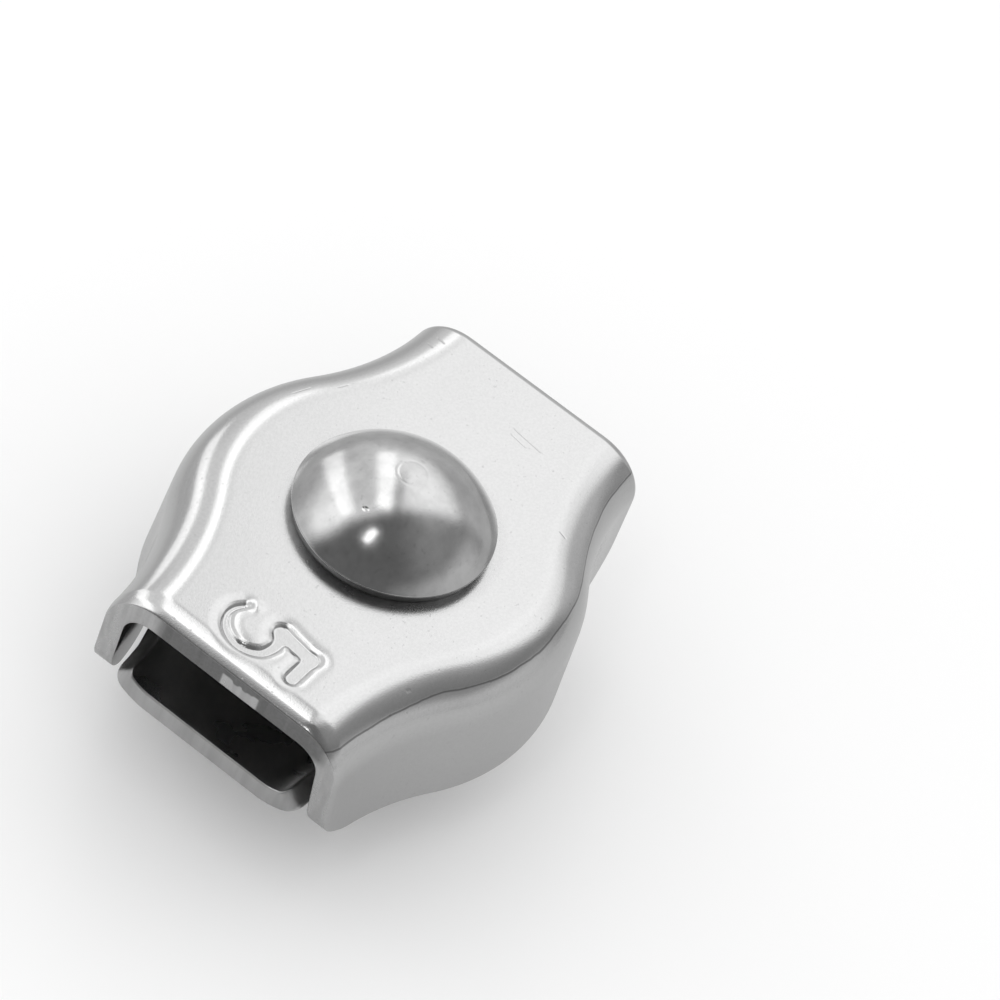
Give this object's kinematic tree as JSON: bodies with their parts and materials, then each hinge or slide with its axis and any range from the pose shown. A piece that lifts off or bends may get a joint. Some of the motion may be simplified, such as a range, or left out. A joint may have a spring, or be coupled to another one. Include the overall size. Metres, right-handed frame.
{
  "type": "simplex wire rope clip",
  "caption": "Pressed barrel-shaped clip that clamps parallel runs of wire rope between a cover and a saddle, drawn together by a dome-head bolt and a hexagon nut.",
  "frame": {"origin": "on the bolt's axis, halfway up the two rope ways", "axes": "+X along the ropes, +Z along the bolt's axis towards its domed head"},
  "size_m": [0.0286, 0.0236, 0.0179],
  "materials": {
    "cover_steel": "polished stainless steel with a fine satin grain",
    "bolt_steel": "polished stainless steel",
    "saddle_steel": "satin stainless steel",
    "nut_steel": "turned stainless steel"
  },
  "bodies": {
    "clip": {"cover": "cover_steel", "bolt": "bolt_steel"},
    "saddle": {"saddle": "saddle_steel"},
    "nut": {"nut": "nut_steel"}
  },
  "joints": [
    {"name": "saddle_slide", "type": "slide", "parent": "clip", "child": "saddle", "axis": [0, 0, -1], "range_m": [-0.0016, 0.002]},
    {"name": "nut_turn", "type": "hinge", "parent": "saddle", "child": "nut", "pos_m": [0, 0, -0.0039], "axis": [0, 0, -1], "range_deg": [-780, 960]}
  ],
  "couplings": [
    {"joint": "nut_turn", "follows": "saddle_slide", "rad_per_m": 7854}
  ]
}
